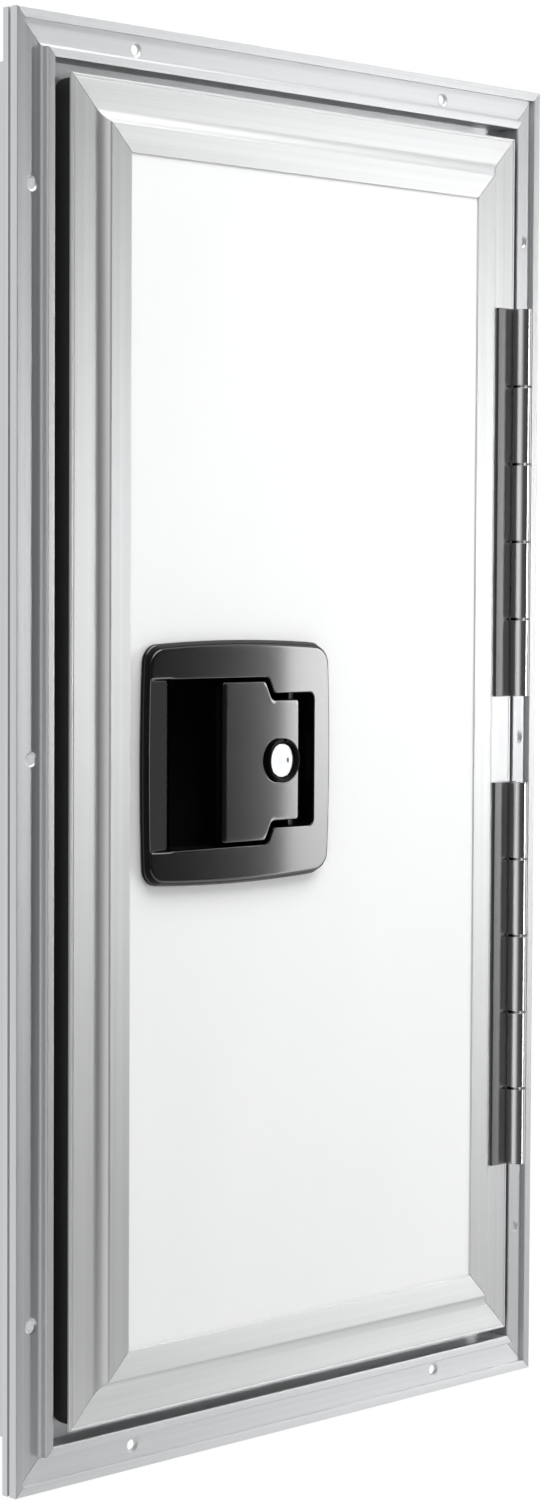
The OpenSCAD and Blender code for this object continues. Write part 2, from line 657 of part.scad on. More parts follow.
module lock_housing() {
    color(black) at_latch() translate([lock_x, 0, lock_z]) rotate([-90, 0, 0]) difference() {
        rotate_extrude() polygon([[plug_r + run, plug_face + 0.8], [lock_ring_r - 1.2, lock_front],
            [lock_ring_r - 0.6, lock_front], [lock_ring_r, lock_front + 0.6], [lock_ring_r, bezel_y],
            [lock_body_r, bezel_y], [lock_body_r, lock_back], [plug_r + run, lock_back]]);
        translate([-0.8, -lock_ring_r - 1, lock_front - 1]) cube([1.6, 2.6, 2.2]);
    }
}
module lock_nut() {
    color(steel) at_latch() translate([lock_x, bezel_y + 6, lock_z]) rotate([-90, 0, 0]) difference() {
        rotate([0, 0, 30]) cylinder(r = 12, h = 3, $fn = 6);
        translate([0, 0, -1]) cylinder(r = lock_body_r + run, h = 5);
    }
}
module lock_plug() {
    color(chrome) at_latch() translate([lock_x, 0, lock_z]) rotate([-90, 0, 0]) difference() {
        union() {
            translate([0, 0, plug_face]) cylinder(r = plug_r, h = lock_back + 0.2 - plug_face);
            translate([-2.4, -2.4, 0]) cube([4.8, 4.8, cam_y[1] - 0.2]);
        }
        translate([-4.6, -1.1, plug_face - 1]) cube([9.2, 2.2, 1.6]);
        translate([0, 0, 1]) cylinder(r = 1.2, h = 20);
    }
}
module lock_cam() {
    color(steel) at_latch() translate([lock_x, 0, lock_z]) difference() {
        upright(cam_y[0], cam_y[1]) {
            circle(r = 6);
            translate([-4, -13]) square([8, 13]);
            translate([0, -13]) circle(r = 4);
        }
        upright(cam_y[0] - 1, cam_y[1] + 1) square(5, center = true);
    }
}
module cam_screw() {
    color(steel) at_latch() translate([lock_x, 0, lock_z]) rotate([-90, 0, 0]) {
        translate([0, 0, cam_y[1]]) cylinder(r = 3.4, h = 1);
        translate([0, 0, 1.4]) cylinder(r = 1.14, h = cam_y[1] - 1.3);
    }
}

// Tray that carries the bolt and the lever, on a plate clamped behind the bezel
module latch_case() {
    channel = bolt_w / 2 + 0.4;
    well = notch_h + 1.4;
    left = stile_x - latch_x + 0.2;
    inner = case_back - case_t;
    color(black) at_latch() difference() {
        union() {
            upright(inner, case_back) rounded_rectangle(cut_a - 0.5, cut_b - 0.5, cut_r);
            translate([left, pan_back + 0.1, -channel - case_t])
                cube([-left, case_back - pan_back - 0.1, 2 * (channel + case_t)]);
            translate([-3, pan_back + 0.1, -well - case_t])
                cube([notch_right + 5, case_back - pan_back - 0.1, 2 * (well + case_t)]);
        }
        translate([left - 1, pan_back - 1, -channel]) cube([-left + 3, inner - pan_back + 1, 2 * channel]);
        translate([-3 + case_t, pan_back - 1, -well]) cube([notch_right + 5 - 2 * case_t, inner - pan_back + 1, 2 * well]);
        post_holes(inner);
        translate([lever_x, inner - 1, lever_z]) rotate([-90, 0, 0]) cylinder(r = 2, h = 6);
    }
    color(black) translate([spring_post[0], bolt_front + 1.2, latch_z - 3.4])
        cube([spring_post[1] - spring_post[0], inner - bolt_front - 1.2 + 0.5, 6.8]);
    color(black) at_latch() translate([lever_x, lever_y[1] + 0.1, lever_z]) rotate([-90, 0, 0]) difference() {
        cylinder(r = 4.2, h = inner - lever_y[1]);
        translate([0, 0, -1]) cylinder(r = 2, h = 20);
    }
}
module post_holes(y) {
    for (sx = [-1, 1]) for (sz = [-1, 1]) translate([sx * post_a, y - 1, sz * post_b])
        rotate([-90, 0, 0]) cylinder(r = screw_hole_r + 0.2, h = 8);
}
module lever_pin() {
    color(steel) at_latch() translate([lever_x, lever_y[0] - 1.6, lever_z]) rotate([-90, 0, 0]) {
        cylinder(r = 1.95, h = case_back - lever_y[0] + 1.6);
        cylinder(r = 3.4, h = 1.3);
    }
}
module latch_backplate() {
    color(black) difference() {
        at_latch() {
            upright(inner_y + inner_skin_t, inner_y + inner_skin_t + 1.6)
                rounded_rectangle(cut_a + 1.5, cut_b + 1.5, cut_r);
        }
        post_places() cylinder(r = screw_hole_r + 0.2, h = 60);
    }
}
module latch_screws() {
    head_y = inner_y + inner_skin_t + 1.6;
    color(steel) post_places() {
        translate([0, 0, -8]) cylinder(r = screw_hole_r - 0.1, h = head_y + 8.1);
        translate([0, 0, head_y]) cylinder(r1 = 3.8, r2 = 3, h = 2);
    }
}

// Lever plate with a forward tab for the paddle's arm and a pin for the bolt's tail
module transfer_lever() {
    tab = [lever_up * sin(tab_angle), lever_up * cos(tab_angle)];
    low = -lever_down * [sin(lever_turn / 2), cos(lever_turn / 2)];
    color(steel) at_latch() translate([lever_x, 0, lever_z]) difference() {
        union() {
            upright(lever_y[0], lever_y[1]) {
                circle(r = 4.6);
                lever_arm(tab, 3);
                lever_arm(low, 3.4);
            }
            translate([tab[0], -5, tab[1]]) rotate([-90, 0, 0]) cylinder(r = tab_r, h = lever_y[1] + 5);
            translate([low[0], lever_y[0], low[1]]) rotate([-90, 0, 0])
                cylinder(r = tail_pin_r, h = tail_y[1] - lever_y[0] - 0.2);
        }
        translate([0, lever_y[0] - 1, 0]) rotate([-90, 0, 0]) cylinder(r = 1.95 + run, h = 5);
    }
}
module lever_arm(end, r) {
    length = norm(end);
    rotate(atan2(end[1], end[0])) translate([0, -r]) square([length, 2 * r]);
    translate(end) circle(r = r);
}

module latch_bolt() {
    low = [lever_x, lever_z] - lever_down * [sin(lever_turn / 2), cos(lever_turn / 2)];
    tail_end = latch_x + low[0] + 8;
    color(steel) difference() {
        union() {
            translate([0, 0, latch_z - bolt_w / 2]) linear_extrude(bolt_w)
                polygon([[bolt_tip, bolt_front], [bolt_end, bolt_front], [bolt_end, bolt_back],
                    [bolt_tip + 6, bolt_back], [bolt_tip, bolt_front + 4]]);
            translate([bolt_end - 1, tail_y[0], latch_z + low[1] - 6])
                cube([tail_end - bolt_end + 1, tail_y[1] - tail_y[0], 12]);
        }
        translate([bolt_window[0], bolt_front - 1, latch_z - 4])
            cube([bolt_window[1] - bolt_window[0], bolt_back - bolt_front + 2, 8]);
        translate([latch_x + low[0] - tail_pin_r - 0.4, tail_y[0] - 1, latch_z + low[1] - 4])
            cube([2 * tail_pin_r + 0.8, 6, 8]);
    }
}

frame_top_rail();
frame_bottom_rail();
frame_left_stile();
frame_right_stile();
frame_corner_keys();
strike_plate();
strike_rivets();
upper_hinge_frame_plate();
lower_hinge_frame_plate();
hinge_pins();
hinge_frame_rivets();
leaf_top_rail();
leaf_bottom_rail();
leaf_left_stile();
leaf_right_stile();
leaf_corner_keys();
outer_skin();
foam_core();
inner_skin();
bulb_seal();
upper_hinge_leaf_plate();
lower_hinge_leaf_plate();
hinge_leaf_rivets();
latch_bezel();
latch_gasket();
latch_case();
lever_pin();
latch_backplate();
latch_screws();
paddle();
paddle_pin();
paddle_spring();
lock_housing();
lock_nut();
lock_plug();
lock_cam();
cam_screw();
transfer_lever();
latch_bolt();
bolt_spring();
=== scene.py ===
"""Looks of a caravan baggage door: extruded aluminium frame and leaf, white sandwich panel,
knuckle hinges and a black paddle latch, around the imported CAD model. Metres."""
import json
import math
import bmesh
import bpy
import numpy as np
from mathutils import Matrix, Vector


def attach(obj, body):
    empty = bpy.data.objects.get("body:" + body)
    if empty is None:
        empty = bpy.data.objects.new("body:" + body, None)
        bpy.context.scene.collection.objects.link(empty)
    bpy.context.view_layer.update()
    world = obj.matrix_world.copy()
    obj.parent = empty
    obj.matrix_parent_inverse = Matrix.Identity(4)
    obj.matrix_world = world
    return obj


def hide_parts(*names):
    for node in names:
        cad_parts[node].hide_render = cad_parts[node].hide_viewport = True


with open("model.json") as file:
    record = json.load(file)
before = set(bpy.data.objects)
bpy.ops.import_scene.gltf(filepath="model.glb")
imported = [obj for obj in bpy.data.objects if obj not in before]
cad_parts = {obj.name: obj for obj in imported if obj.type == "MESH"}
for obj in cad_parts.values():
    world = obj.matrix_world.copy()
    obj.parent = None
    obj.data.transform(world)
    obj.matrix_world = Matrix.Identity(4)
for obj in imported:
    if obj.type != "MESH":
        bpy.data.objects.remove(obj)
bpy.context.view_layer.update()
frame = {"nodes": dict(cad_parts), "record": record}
nodes = frame["nodes"]


# ---------------------------------------------------------------- materials

class Finish:
    """A node material being wired up: every helper adds one node and gives back its output."""

    def __init__(self, name, colour, roughness, metallic=0.0, **sockets):
        self.material = bpy.data.materials.new(name)
        self.material.use_nodes = True
        self.tree = self.material.node_tree
        self.shader = self.tree.nodes["Principled BSDF"]
        self.set("Base Color", (*colour, 1.0))
        self.set("Roughness", roughness)
        self.set("Metallic", metallic)
        for socket, value in sockets.items():
            self.set(socket.replace("_", " "), value)
        self.material.diffuse_color = (*colour, 1.0)

    def set(self, socket, value):
        self.shader.inputs[socket].default_value = value

    def link(self, output, socket):
        self.tree.links.new(output, self.shader.inputs[socket])

    def node(self, kind, inputs=None, **settings):
        made = self.tree.nodes.new(kind)
        for key, value in settings.items():
            setattr(made, key, value)
        for key, value in (inputs or {}).items():
            if isinstance(value, bpy.types.NodeSocket):
                self.tree.links.new(value, made.inputs[key])
            else:
                made.inputs[key].default_value = value
        return made

    def place(self, scale):
        """Object coordinates, stretched by a scale along each axis."""
        where = self.node("ShaderNodeTexCoord").outputs["Object"]
        return self.node("ShaderNodeMapping", {"Vector": where, "Scale": scale}).outputs[0]

    def noise(self, scale, detail=3.0, roughness=0.5):
        return self.node("ShaderNodeTexNoise", {"Vector": self.place(scale), "Scale": 1.0, "Detail": detail,
                                                "Roughness": roughness}).outputs["Fac"]

    def spread(self, value, low, high, start=0.3, end=0.7):
        """Value stretched from start..end to low..high."""
        return self.node("ShaderNodeMapRange", {"Value": value, "From Min": start, "From Max": end,
                                                "To Min": low, "To Max": high}).outputs[0]

    def tint(self, value, dark, light):
        """Mixes two colours by a value from 0 to 1."""
        mix = self.node("ShaderNodeMix", data_type="RGBA")
        self.tree.links.new(value, mix.inputs[0])
        mix.inputs[6].default_value = (*dark, 1.0)
        mix.inputs[7].default_value = (*light, 1.0)
        return mix.outputs[2]

    def bump(self, height, distance, strength=1.0):
        made = self.node("ShaderNodeBump", {"Height": height, "Distance": distance, "Strength": strength})
        self.link(made.outputs[0], "Normal")


def drawn_aluminium(name, along, colour, roughness, smear):
    """Mill-finish extrusion: die lines run along the member and smear reflections across it."""
    made = Finish(name, colour, roughness, 1.0, Anisotropic=smear)
    fine = [1600.0, 1600.0, 1600.0]
    broad = [220.0, 220.0, 220.0]
    fine["XYZ".index(along)] = 3.0
    broad["XYZ".index(along)] = 1.5
    lines = made.noise(fine, 4.0, 0.6)
    bands = made.noise(broad, 2.0, 0.5)
    dark = tuple(c * 0.91 for c in colour)
    light = tuple(min(1.0, c * 1.05) for c in colour)
    streaks = made.node("ShaderNodeMath", {0: lines, 1: bands}, operation="ADD").outputs[0]
    made.link(made.tint(made.spread(streaks, 0, 1, 0.7, 1.3), dark, light), "Base Color")
    made.link(made.spread(lines, roughness - 0.04, roughness + 0.04), "Roughness")
    made.bump(lines, 0.000008)
    turn = made.node("ShaderNodeTangent", direction_type="RADIAL", axis=along)
    made.link(turn.outputs[0], "Tangent")
    return made.material


def satin_aluminium(name, colour, roughness):
    """Plain rolled metal with faint clouding."""
    made = Finish(name, colour, roughness, 1.0)
    clouds = made.noise([60.0, 60.0, 20.0], 4.0)
    grain = made.noise([2500.0, 2500.0, 2500.0], 2.0)
    made.link(made.tint(made.spread(clouds, 0, 1), tuple(c * 0.9 for c in colour), colour), "Base Color")
    made.link(made.spread(grain, roughness - 0.04, roughness + 0.05), "Roughness")
    made.bump(grain, 0.00001)
    return made.material


def painted_shade_plate(name, left, right):
    """Dull hinge plate in a much darker grey than the hinge aluminium, drifting a little from its free edge to the
    barrel: painted shade from the barrel on a copy of the same metal.
    """
    made = Finish(name, (0.3, 0.3, 0.305), 0.42, 1.0)
    part = made.node("ShaderNodeSeparateXYZ", {"Vector": made.node("ShaderNodeTexCoord").outputs["Object"]})
    share = made.spread(part.outputs[0], 0.0, 1.0, left, right)
    made.link(made.tint(share, (0.11, 0.11, 0.112), (0.2, 0.2, 0.204)), "Base Color")
    made.bump(made.noise([2500.0, 2500.0, 2500.0], 2.0), 0.00001)
    return made.material


def gloss_white(name):
    """White gloss panel skin with a very slight waviness."""
    made = Finish(name, (0.86, 0.865, 0.87), 0.36, 0.0, Specular_IOR_Level=0.5)
    wave = made.noise([14.0, 14.0, 9.0], 2.0)
    made.link(made.tint(made.spread(wave, 0, 1), (0.85, 0.856, 0.862), (0.87, 0.874, 0.878)), "Base Color")
    made.bump(made.noise([220.0, 220.0, 220.0], 2.0), 0.000004)
    return made.material


def black_moulding(name, colour=(0.018, 0.018, 0.019), roughness=0.32, **gloss):
    """Moulded black plastic with a very fine spark-eroded grain."""
    made = Finish(name, colour, roughness, 0.0, **gloss)
    grain = made.noise([3200.0, 3200.0, 3200.0], 2.0)
    cloud = made.noise([40.0, 40.0, 40.0], 3.0)
    made.link(made.tint(made.spread(cloud, 0, 1), tuple(c * 0.85 for c in colour), tuple(c * 1.2 for c in colour)),
              "Base Color")
    made.link(made.spread(grain, roughness - 0.03, roughness + 0.04), "Roughness")
    made.bump(grain, 0.000006)
    return made.material


def rubber(name):
    """Matt sponge rubber skin."""
    made = Finish(name, (0.012, 0.012, 0.012), 0.75)
    grain = made.noise([1500.0, 1500.0, 1500.0], 3.0)
    made.link(made.tint(made.spread(grain, 0, 1), (0.008, 0.008, 0.008), (0.02, 0.02, 0.02)), "Base Color")
    made.bump(grain, 0.00004)
    return made.material


def foam(name):
    """Cut rigid foam with small open cells."""
    made = Finish(name, (0.86, 0.80, 0.62), 0.9)
    cells = made.node("ShaderNodeTexVoronoi", {"Vector": made.place([700.0, 700.0, 700.0]), "Scale": 1.0}).outputs[0]
    made.link(made.tint(cells, (0.70, 0.63, 0.45), (0.90, 0.85, 0.68)), "Base Color")
    made.bump(cells, 0.0002)
    return made.material


# (axis, colour, roughness, smear): the stiles' die lines are crisper than the rails', and the leaf rails' lower grey
# than the leaf stiles' is painted shade
frame_along = {axis: drawn_aluminium("frame_aluminium_" + axis, axis, (base, base + 0.01, base + 0.02), rough, smear)
               for axis, base, rough, smear in (("X", 0.66, 0.48, 0.3), ("Z", 0.66, 0.42, 0.72))}
leaf_along = {axis: drawn_aluminium("leaf_aluminium_" + axis, axis, (base, base + 0.005, base + 0.01), rough, smear)
              for axis, base, rough, smear in (("X", 0.68, 0.48, 0.3), ("Z", 0.78, 0.42, 0.78))}
hinge_metal = satin_aluminium("hinge_aluminium", (0.70, 0.70, 0.71), 0.17)
# Darker copy of the hinge aluminium for the leaf plates and their rivets: painted shade.
plate_painted_shade = painted_shade_plate("plate_aluminium_painted_shade", 0.137, 0.1495)
plated_steel = satin_aluminium("plated_steel", (0.55, 0.55, 0.56), 0.35)
panel_white = gloss_white("panel_white")
foam_cut = foam("rigid_foam")
seal_black = rubber("seal_rubber")
latch_black = black_moulding("latch_black", (0.002, 0.002, 0.0024), 0.14, Specular_IOR_Level=0.25, Coat_Weight=1.0,
                             Coat_Roughness=0.06, Coat_IOR=1.46)
side_black = black_moulding("side_black", (0.002, 0.002, 0.0022), 0.3, Specular_IOR_Level=0.08)
recess_black = Finish("recess_black", (0.002, 0.002, 0.002), 0.9, Specular_IOR_Level=0.05).material
case_black = black_moulding("case_black", roughness=0.5)
lock_chrome = satin_aluminium("lock_chrome", (0.5, 0.505, 0.52), 0.36)


def dress(names, material):
    """Gives every listed CAD node one material."""
    for name in names.split():
        mesh = nodes[name].data
        mesh.materials.clear()
        mesh.materials.append(material)


dress("frame_top_rail frame_bottom_rail", frame_along["X"])
dress("frame_left_stile frame_right_stile", frame_along["Z"])
dress("leaf_top_rail leaf_bottom_rail", leaf_along["X"])
dress("leaf_left_stile leaf_right_stile", leaf_along["Z"])
dress("upper_hinge_frame_plate lower_hinge_frame_plate upper_hinge_leaf_plate lower_hinge_leaf_plate "
      "hinge_frame_rivets", hinge_metal)
# The leaf rivets take the plate's painted shade.
dress("hinge_leaf_rivets", plate_painted_shade)
dress("frame_corner_keys leaf_corner_keys strike_plate strike_rivets hinge_pins lever_pin latch_screws "
      "paddle_pin paddle_spring bolt_spring lock_nut lock_cam cam_screw transfer_lever latch_bolt", plated_steel)
dress("outer_skin inner_skin", panel_white)
dress("foam_core", foam_cut)
dress("bulb_seal latch_gasket", seal_black)
dress("latch_bezel paddle", latch_black)
dress("lock_housing", side_black)
dress("latch_case latch_backplate", case_black)
dress("lock_plug", lock_chrome)


# ---------------------------------------------------------------- pieces from CAD nodes

bodies = frame["record"]["behaviour"]["bodies"]
body_of = {node: name for name, members in bodies.items() for node in members}


def stand_in(name, mesh, node):
    """Puts a finished mesh in the place of a CAD node, with that node's material and body."""
    mesh.shade_smooth()
    mesh.materials.append(nodes[node].data.materials[0])
    piece = bpy.data.objects.new(name, mesh)
    bpy.context.scene.collection.objects.link(piece)
    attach(piece, body_of[node])
    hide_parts(node)
    return piece


def merged(node):
    """Copy of a CAD node with equal corners merged and flat regions made into single faces."""
    shape = bmesh.new()
    shape.from_mesh(nodes[node].data)
    bmesh.ops.remove_doubles(shape, verts=shape.verts, dist=2e-6)
    bmesh.ops.dissolve_limit(shape, angle_limit=math.radians(0.5), verts=shape.verts, edges=shape.edges)
    return shape


def soften(piece, width, sharp=28.0, segments=3):
    """Rolls over every edge that turns by more than an angle, as a mould or a press leaves it."""
    edge = piece.modifiers.new("edge", "BEVEL")
    edge.width, edge.segments, edge.limit_method = width, segments, "ANGLE"
    edge.angle_limit = math.radians(sharp)
    edge.use_clamp_overlap = True
    edge.miter_outer = "MITER_ARC"
    normals = piece.modifiers.new("normals", "WEIGHTED_NORMAL")
    normals.keep_sharp = True


JOINT_GAP = SLOT_HALF = 0.65


def open_joints(shape, centre_z, leaf):
    """Widens the gaps between a hinge's knuckles and, on the leaf's plate, cuts a short slot beside the
    barrel at each of them; millimetres."""
    joints = [centre_z - 60, centre_z - 20, centre_z + 20, centre_z + 60]
    for v in shape.verts:
        x, y, z = v.co * 1000
        for joint in joints:
            if abs(abs(z - joint) - 0.2) < 0.15 and math.hypot(x - BARREL[0], y - BARREL[1]) < 4.78:
                v.co.z = (joint + math.copysign(JOINT_GAP, z - joint)) / 1000
    if not leaf:
        return
    left, right = BARREL[0] - 9.1, BARREL[0] - 5.2
    cuts = [((left, 0, 0), (1, 0, 0)), ((right, 0, 0), (1, 0, 0))]
    cuts += [((0, 0, joint + side * SLOT_HALF), (0, 0, 1)) for joint in joints for side in (-1, 1)]
    for place, normal in cuts:
        bmesh.ops.bisect_plane(shape, geom=shape.verts[:] + shape.edges[:] + shape.faces[:], dist=1e-7,
                               plane_co=[c / 1000 for c in place], plane_no=normal)
    bmesh.ops.remove_doubles(shape, verts=shape.verts, dist=1e-5)
    for joint in joints:
        gone = [f for f in shape.faces
                if left < f.calc_center_median().x * 1000 < right and abs(f.calc_center_median().z * 1000 - joint) < SLOT_HALF]
        bmesh.ops.delete(shape, geom=gone, context="FACES")
        rim = [e for e in shape.edges if e.is_boundary]
        bmesh.ops.bridge_loops(shape, edges=rim)
    bmesh.ops.recalc_face_normals(shape, faces=shape.faces)


def rounded(node, width, change=None):
    """A CAD node's own shape, changed if asked, with its sharp edges rolled over by a small radius."""
    shape = merged(node)
    if change:
        change(shape)
    mesh = bpy.data.meshes.new(node + "_rounded")
    shape.to_mesh(mesh)
    shape.free()
    piece = stand_in(node + "_rounded", mesh, node)
    soften(piece, width)
    return piece


rounded("lock_housing", 0.0003)
for side in ("top_rail", "bottom_rail", "left_stile", "right_stile"):
    rounded("frame_" + side, 0.00025)
    rounded("leaf_" + side, 0.0002)
corners = np.array([v.co for v in nodes["upper_hinge_leaf_plate"].data.vertices]) * 1000
BARREL = (corners[:, 0].max() - 4.75, corners[:, 1].min() + 4.75)
for place, height in (("upper", 122.3), ("lower", -122.3)):
    rounded(place + "_hinge_frame_plate", 0.0003, lambda shape: open_joints(shape, height, False))
    plate = rounded(place + "_hinge_leaf_plate", 0.0002, lambda shape: open_joints(shape, height, True))
    # The flat part of each leaf plate takes the painted-shade copy of the metal.
    plate.data.materials.append(plate_painted_shade)
    for face in plate.data.polygons:
        face.material_index = int(face.center.y * 1000 > BARREL[1] + 3.2)


# ---------------------------------------------------------------- latch mouldings
# Drawn in millimetres from the latch's middle, x to the right and z up, as in the CAD source.

LATCH_X, LATCH_Z = -53.2765, -4.4
BEZEL_A, BEZEL_B, CORNER_R = 60.7, 57.8, 8.6
PANEL_Y, FACE_Y = -19.9, -25.5
POCKET_LEFT, POCKET_H, NOTCH_H, NOTCH_RIGHT = -44.7, 40.0, 32.2, 48.9
PADDLE_LEFT, PADDLE_H, TONGUE_H, TONGUE_RIGHT = -12.3, 37.9, 28.84, 38.6
LOCK = (26.8, -0.1)
SCOOP_H, SCOOP_START, SCOOP_DEPTH = 39.9, -61.5, 3.2
AROUND = 900


def arc(cx, cz, r, start, end, count=10):
    """Points on a circle about (cx, cz) between two angles in degrees."""
    turn = np.radians(np.linspace(start, end, count))
    return np.column_stack((cx + r * np.cos(turn), cz + r * np.sin(turn)))


def bezel_edge(side, top):
    """Square with round corners whose sides bow out: half width falls with the square of height and
    half height with the square of width; drawn in by one inset at the sides and one at top and bottom."""
    a, b = BEZEL_A - side, BEZEL_B - top
    cx = a - CORNER_R - 1.5 * ((b - CORNER_R) / b) ** 2
    cz = b - CORNER_R - 2.2 * ((a - CORNER_R) / a) ** 2
    up = np.linspace(0, cz, 20)[:-1]
    along = np.linspace(cx, 0, 20)[1:]
    quarter = np.concatenate((np.column_stack((a - 1.5 * (up / b) ** 2, up)), arc(cx, cz, CORNER_R, 0, 90, 16),
                              np.column_stack((along, b - 2.2 * (along / a) ** 2))))
    half = np.concatenate((quarter, quarter[-2::-1] * (-1, 1)))
    return np.concatenate((half, half[-2:0:-1] * (1, -1)))


def stepped_edge(left, right, tall, low, step, corner, r_out, r_in, slope=64.0):
    """Outline that is tall on the left and low on the right: both heights run level and are joined by a
    rounded shoulder, a straight slope and a rounded foot, tangent to each other."""
    turn = math.radians(slope)
    run = (tall - low - (r_out + r_in) * (1 - math.cos(turn))) / math.tan(turn)
    foot = step + (r_out + r_in) * math.sin(turn) + run
    upper = np.concatenate(([(left, 0.0)], arc(left + 1.2, tall - 1.2, 1.2, 180, 90),
                            arc(step, tall - r_out, r_out, 90, 90 - slope),
                            arc(foot, low + r_in, r_in, 270 - slope, 270), arc(right - corner, low - corner, corner, 90, 0),
                            [(right, 0.0)]))
    return np.concatenate((upper, upper[-2:0:-1] * (1, -1)))


def opening_edge(out):
    """The latch's opening, made larger by a distance."""
    return stepped_edge(POCKET_LEFT - out, NOTCH_RIGHT + out, POCKET_H + out, NOTCH_H + out, 15.8, 3.2 + out,
                        3.4 + out, max(2.4 - out, 0.3))


def paddle_edge(inset):
    """The paddle's outline, made smaller by a distance."""
    return stepped_edge(PADDLE_LEFT + inset, TONGUE_RIGHT - inset, PADDLE_H - inset, TONGUE_H - inset, 14.6,
                        1.4, 2.4 - inset, 3.4 + inset)


def around(edge, centre=(0.0, 0.0)):
    """Samples an outline at even angles about a centre: its distance from the centre is read off a
    closely spaced copy of the outline at each angle."""
    closed = np.vstack((edge, edge[:1]))
    fine = np.concatenate([np.linspace(closed[:-1], closed[1:], 40, endpoint=False)]).reshape(-1, 2)
    ray = fine - centre
    turn = np.arctan2(ray[:, 1], ray[:, 0])
    order = np.argsort(turn)
    angles = np.linspace(-math.pi, math.pi, AROUND, endpoint=False)
    reach = np.interp(angles, turn[order], np.hypot(ray[:, 0], ray[:, 1])[order], period=2 * math.pi)
    return np.column_stack((centre[0] + reach * np.cos(angles), centre[1] + reach * np.sin(angles)))


def ring(edge, y, centre=(0.0, 0.0)):
    """An outline stood up at a depth: points (x, y, z)."""
    flat = around(edge, centre)
    return np.column_stack((flat[:, 0], np.full(AROUND, float(y)), flat[:, 1]))


def between(first, last, count):
    """Rings spread evenly between two rings, without the two themselves."""
    share = np.linspace(0, 1, count + 2)[1:-1, None, None]
    return list(first[None] * (1 - share) + last[None] * share)


def roll(edge_at, centre, y, radius, outward, steps=5):
    """Rolled edge: a quarter circle from the flat face round to the wall, as rings."""
    turn = np.linspace(0, math.pi / 2, steps)
    return [ring(edge_at(outward * radius * (1 - math.sin(t))), y + radius * (1 - math.cos(t)), centre) for t in turn]


def smooth_step(value, start, end):
    """0 below start, 1 above end, and a cubic between."""
    t = np.clip((value - start) / (end - start), 0, 1)
    return t * t * (3 - 2 * t)


def scooped(points):
    """Lets the left land fall away evenly towards the pocket, between two crisp ends, with a narrow
    lip that is nearly level at the pocket."""
    x, z = points[..., 0], points[..., 2]
    lip = POCKET_LEFT - 0.8
    fall = (np.clip((np.minimum(x, lip) - SCOOP_START) / (lip - SCOOP_START), 0, 1) * SCOOP_DEPTH
            + 0.06 * np.clip(x - lip, 0, 0.8))
    inside = (1 - smooth_step(np.abs(z), SCOOP_H - 0.3, SCOOP_H + 0.1)) * (x < POCKET_LEFT + 0.9)
    near_face = 1 - smooth_step(points[..., 1], FACE_Y + 0.7, FACE_Y + 3.0)
    lowered = points.copy()
    lowered[..., 1] += fall * inside * near_face
    return lowered


def tube_of_rings(rings):
    """Faces of a surface that is closed both round each ring and from the last ring to the first."""
    count = len(rings)
    i, j = np.meshgrid(np.arange(count), np.arange(AROUND), indexing="ij")
    a, b = i * AROUND + j, i * AROUND + (j + 1) % AROUND
    c, d = ((i + 1) % count) * AROUND + (j + 1) % AROUND, ((i + 1) % count) * AROUND + j
    return np.concatenate(rings), np.stack((a, b, c, d), axis=-1).reshape(-1, 4)


def back_part(node, y):
    """What a CAD node has behind a depth, cut off flat and closed there."""
    shape = merged(node)
    cut = bmesh.ops.bisect_plane(shape, geom=shape.verts[:] + shape.edges[:] + shape.faces[:], dist=1e-7,
                                 plane_co=(0, y, 0), plane_no=(0, -1, 0), clear_outer=True)
    rim = [edge for edge in cut["geom_cut"] if isinstance(edge, bmesh.types.BMEdge)]
    bmesh.ops.edgeloop_fill(shape, edges=rim)
    return shape


def moulding(name, node, rings, split):
    """Joins a drawn front shell to what the CAD node has behind a depth, as one piece."""
    points, quads = tube_of_rings(rings)
    place = (points + (LATCH_X, 0, LATCH_Z)) / 1000
    shape = back_part(node, split / 1000)
    start = len(shape.verts)
    front = bpy.data.meshes.new(name)
    front.from_pydata(place, [], quads)
    shape.from_mesh(front)
    bmesh.ops.recalc_face_normals(shape, faces=[f for f in shape.faces if f.verts[0].index >= start or True])
    shape.to_mesh(front)
    shape.free()
    return stand_in(name, front, node)


def latch_front():
    """Bezel: a low flange, a wall that leans in at the top and bottom, a flat face with a finger scoop
    on its left land, and a rolled edge that runs down into the pocket."""
    profile = [(0.0, 0.0, -19.9), (0.0, 0.0, -21.0), (0.1, 0.1, -21.35), (0.3, 0.35, -21.52), (0.5, 0.6, -21.62),
               (0.45, 0.75, -22.2), (0.4, 1.1, -23.4), (0.4, 1.6, -24.4), (0.45, 2.0, -24.95), (0.6, 2.3, -25.25),
               (0.85, 2.6, -25.44), (1.2, 2.95, FACE_Y)]
    outside = [ring(bezel_edge(side, top), y) for side, top, y in profile]
    inside = roll(opening_edge, (0.0, 0.0), FACE_Y, 0.5, 1)
    lip = ring(opening_edge(1.3), FACE_Y)
    land = between(outside[-1], lip, 26) + [lip] + between(lip, inside[0], 2)
    wall = [ring(opening_edge(0.0), y) for y in (-23.0, -20.0, -16.6)]
    back = [ring(opening_edge(2.0), -16.6), ring(opening_edge(2.0), -19.9)]
    return [scooped(r) for r in outside[5:] + land + inside] + wall + back + outside[:5]


def paddle_front():
    """Paddle: a flat plate with rolled edges round its stepped outline and a hole for the lock."""
    hole = arc(LOCK[0], LOCK[1], 9.16, 0, 360, 121)[:-1]
    rim = roll(paddle_edge, LOCK, FACE_Y, 0.5, 1)
    front_hole = ring(hole, FACE_Y, LOCK)
    sides = [ring(paddle_edge(0.0), y, LOCK) for y in (-24.0, -22.5)]
    return ([front_hole] + between(front_hole, rim[0], 12) + rim + sides
            + [ring(hole, -22.5, LOCK)])


